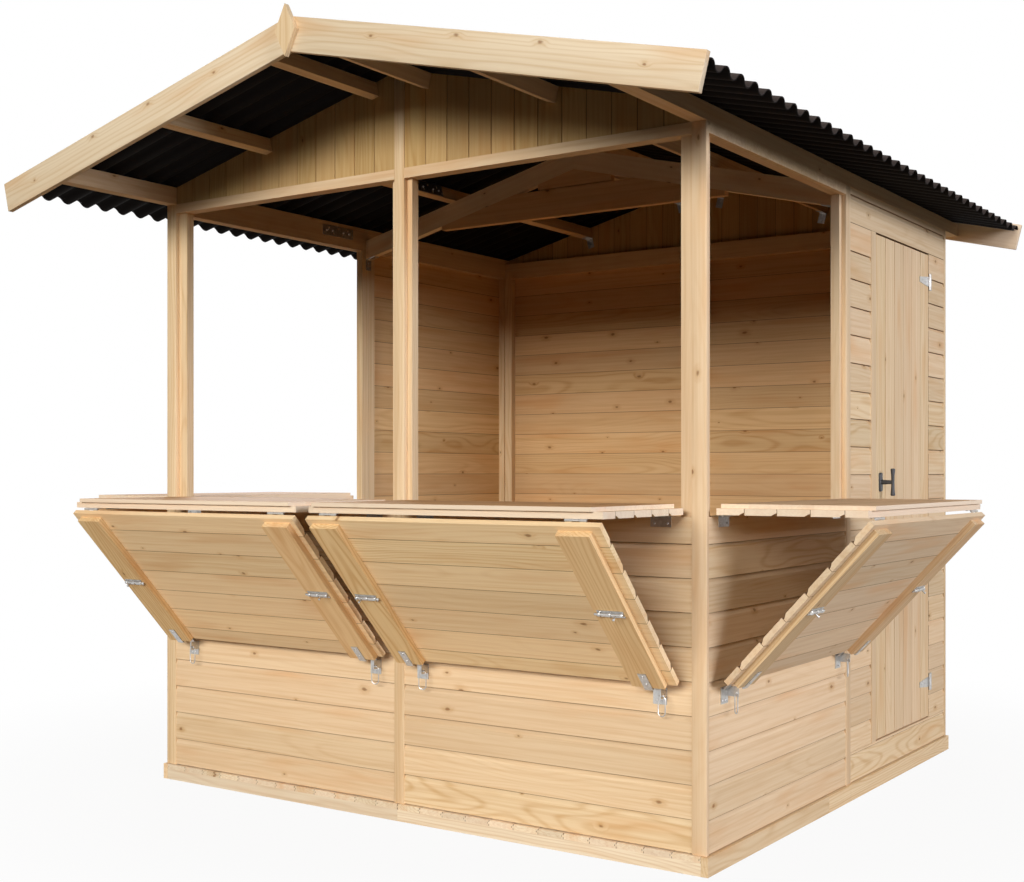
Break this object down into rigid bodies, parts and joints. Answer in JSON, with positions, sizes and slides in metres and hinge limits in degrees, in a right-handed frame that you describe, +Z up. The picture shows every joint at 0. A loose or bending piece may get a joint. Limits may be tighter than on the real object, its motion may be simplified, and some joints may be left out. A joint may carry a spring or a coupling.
{
  "type": "wooden market stall",
  "caption": "Panel-built wooden market stall with a gabled corrugated roof, fold-out serving counters that shut its openings, and a side door.",
  "frame": {"origin": "on the ground, under the middle of the floor; the mount base is there", "axes": "+X to the right along the front, +Y to the rear, +Z up; the front faces -Y"},
  "size_m": [2.863, 2.607, 2.2731],
  "materials": {
    "pine_boards": "planed spruce boards, untreated, with small knots",
    "pine_framing": "planed spruce framing timber",
    "floor_wood": "planed tongue-and-groove spruce",
    "counter_wood": "smooth brownish counter boards",
    "bitumen_sheet": "dark corrugated bitumen fibre sheet, matt",
    "zinc_iron": "bright zinc-plated steel",
    "black_handle": "black powder-coated steel"
  },
  "bodies": {
    "root": {"floor_boards": "floor_wood", "floor_bearers": "pine_framing", "floor_edge_boards": "floor_wood", "side_wall_stiles": "pine_framing", "side_wall_rails": "pine_framing", "gable_wall_stiles": "pine_framing", "gable_wall_rails": "pine_framing", "front_cladding": "pine_boards", "right_cladding": "pine_boards", "left_cladding": "pine_boards", "rear_cladding": "pine_boards", "cover_strips": "pine_boards", "lintels": "pine_boards", "door_jamb_strip": "pine_boards", "eave_purlins": "pine_framing", "roof_purlins": "pine_framing", "gable_boards": "pine_boards", "gable_rails": "pine_framing", "truss_rafters": "pine_framing", "truss_tie": "pine_framing", "truss_gusset": "pine_framing", "splice_plates": "zinc_iron", "roof_brackets": "zinc_iron", "roof_sheet_left": "bitumen_sheet", "roof_sheet_right": "bitumen_sheet", "ridge_cap": "bitumen_sheet", "barge_boards": "pine_boards", "finial": "pine_boards", "wall_irons": "zinc_iron", "brace_lugs": "zinc_iron", "door_hinge_plates": "zinc_iron"},
    "door": {"door": "pine_boards", "door_ledges": "pine_boards", "door_hinges": "zinc_iron", "door_handle": "black_handle"},
    "front_left_counter": {"front_left_counter": "counter_wood", "front_left_counter_irons": "zinc_iron"},
    "front_left_brace": {"front_left_brace": "pine_boards", "front_left_brace_irons": "zinc_iron"},
    "front_right_counter": {"front_right_counter": "counter_wood", "front_right_counter_irons": "zinc_iron"},
    "front_right_brace": {"front_right_brace": "pine_boards", "front_right_brace_irons": "zinc_iron"},
    "right_side_counter": {"right_side_counter": "counter_wood", "right_side_counter_irons": "zinc_iron"},
    "right_side_brace": {"right_side_brace": "pine_boards", "right_side_brace_irons": "zinc_iron"},
    "left_side_counter": {"left_side_counter": "counter_wood", "left_side_counter_irons": "zinc_iron"},
    "left_side_brace": {"left_side_brace": "pine_boards", "left_side_brace_irons": "zinc_iron"}
  },
  "joints": [
    {"name": "front_left_counter_hinge", "type": "hinge", "parent": "root", "child": "front_left_counter", "pos_m": [0, -0.9915, 0.9135], "axis": [-1, 0, 0], "range_deg": [0, 90]},
    {"name": "front_left_brace_hinge", "type": "hinge", "parent": "front_left_counter", "child": "front_left_brace", "pos_m": [0, -1.3965, 0.9135], "axis": [-1, 0, 0], "range_deg": [0, 132.6]},
    {"name": "front_right_counter_hinge", "type": "hinge", "parent": "root", "child": "front_right_counter", "pos_m": [0, -0.9915, 0.9135], "axis": [-1, 0, 0], "range_deg": [0, 90]},
    {"name": "front_right_brace_hinge", "type": "hinge", "parent": "front_right_counter", "child": "front_right_brace", "pos_m": [0, -1.3965, 0.9135], "axis": [-1, 0, 0], "range_deg": [0, 132.6]},
    {"name": "right_side_counter_hinge", "type": "hinge", "parent": "root", "child": "right_side_counter", "pos_m": [1.0115, 0, 0.9135], "axis": [0, -1, 0], "range_deg": [0, 90]},
    {"name": "right_side_brace_hinge", "type": "hinge", "parent": "right_side_counter", "child": "right_side_brace", "pos_m": [1.4165, 0, 0.9135], "axis": [0, -1, 0], "range_deg": [0, 132.6]},
    {"name": "left_side_counter_hinge", "type": "hinge", "parent": "root", "child": "left_side_counter", "pos_m": [-1.0115, 0, 0.9135], "axis": [0, 1, 0], "range_deg": [0, 90]},
    {"name": "left_side_brace_hinge", "type": "hinge", "parent": "left_side_counter", "child": "left_side_brace", "pos_m": [-1.4165, 0, 0.9135], "axis": [0, 1, 0], "range_deg": [0, 132.6]},
    {"name": "door_hinge", "type": "hinge", "parent": "root", "child": "door", "pos_m": [1.005, 0.7875, 0.152], "axis": [0, 0, 1], "range_deg": [0, 110]}
  ]
}
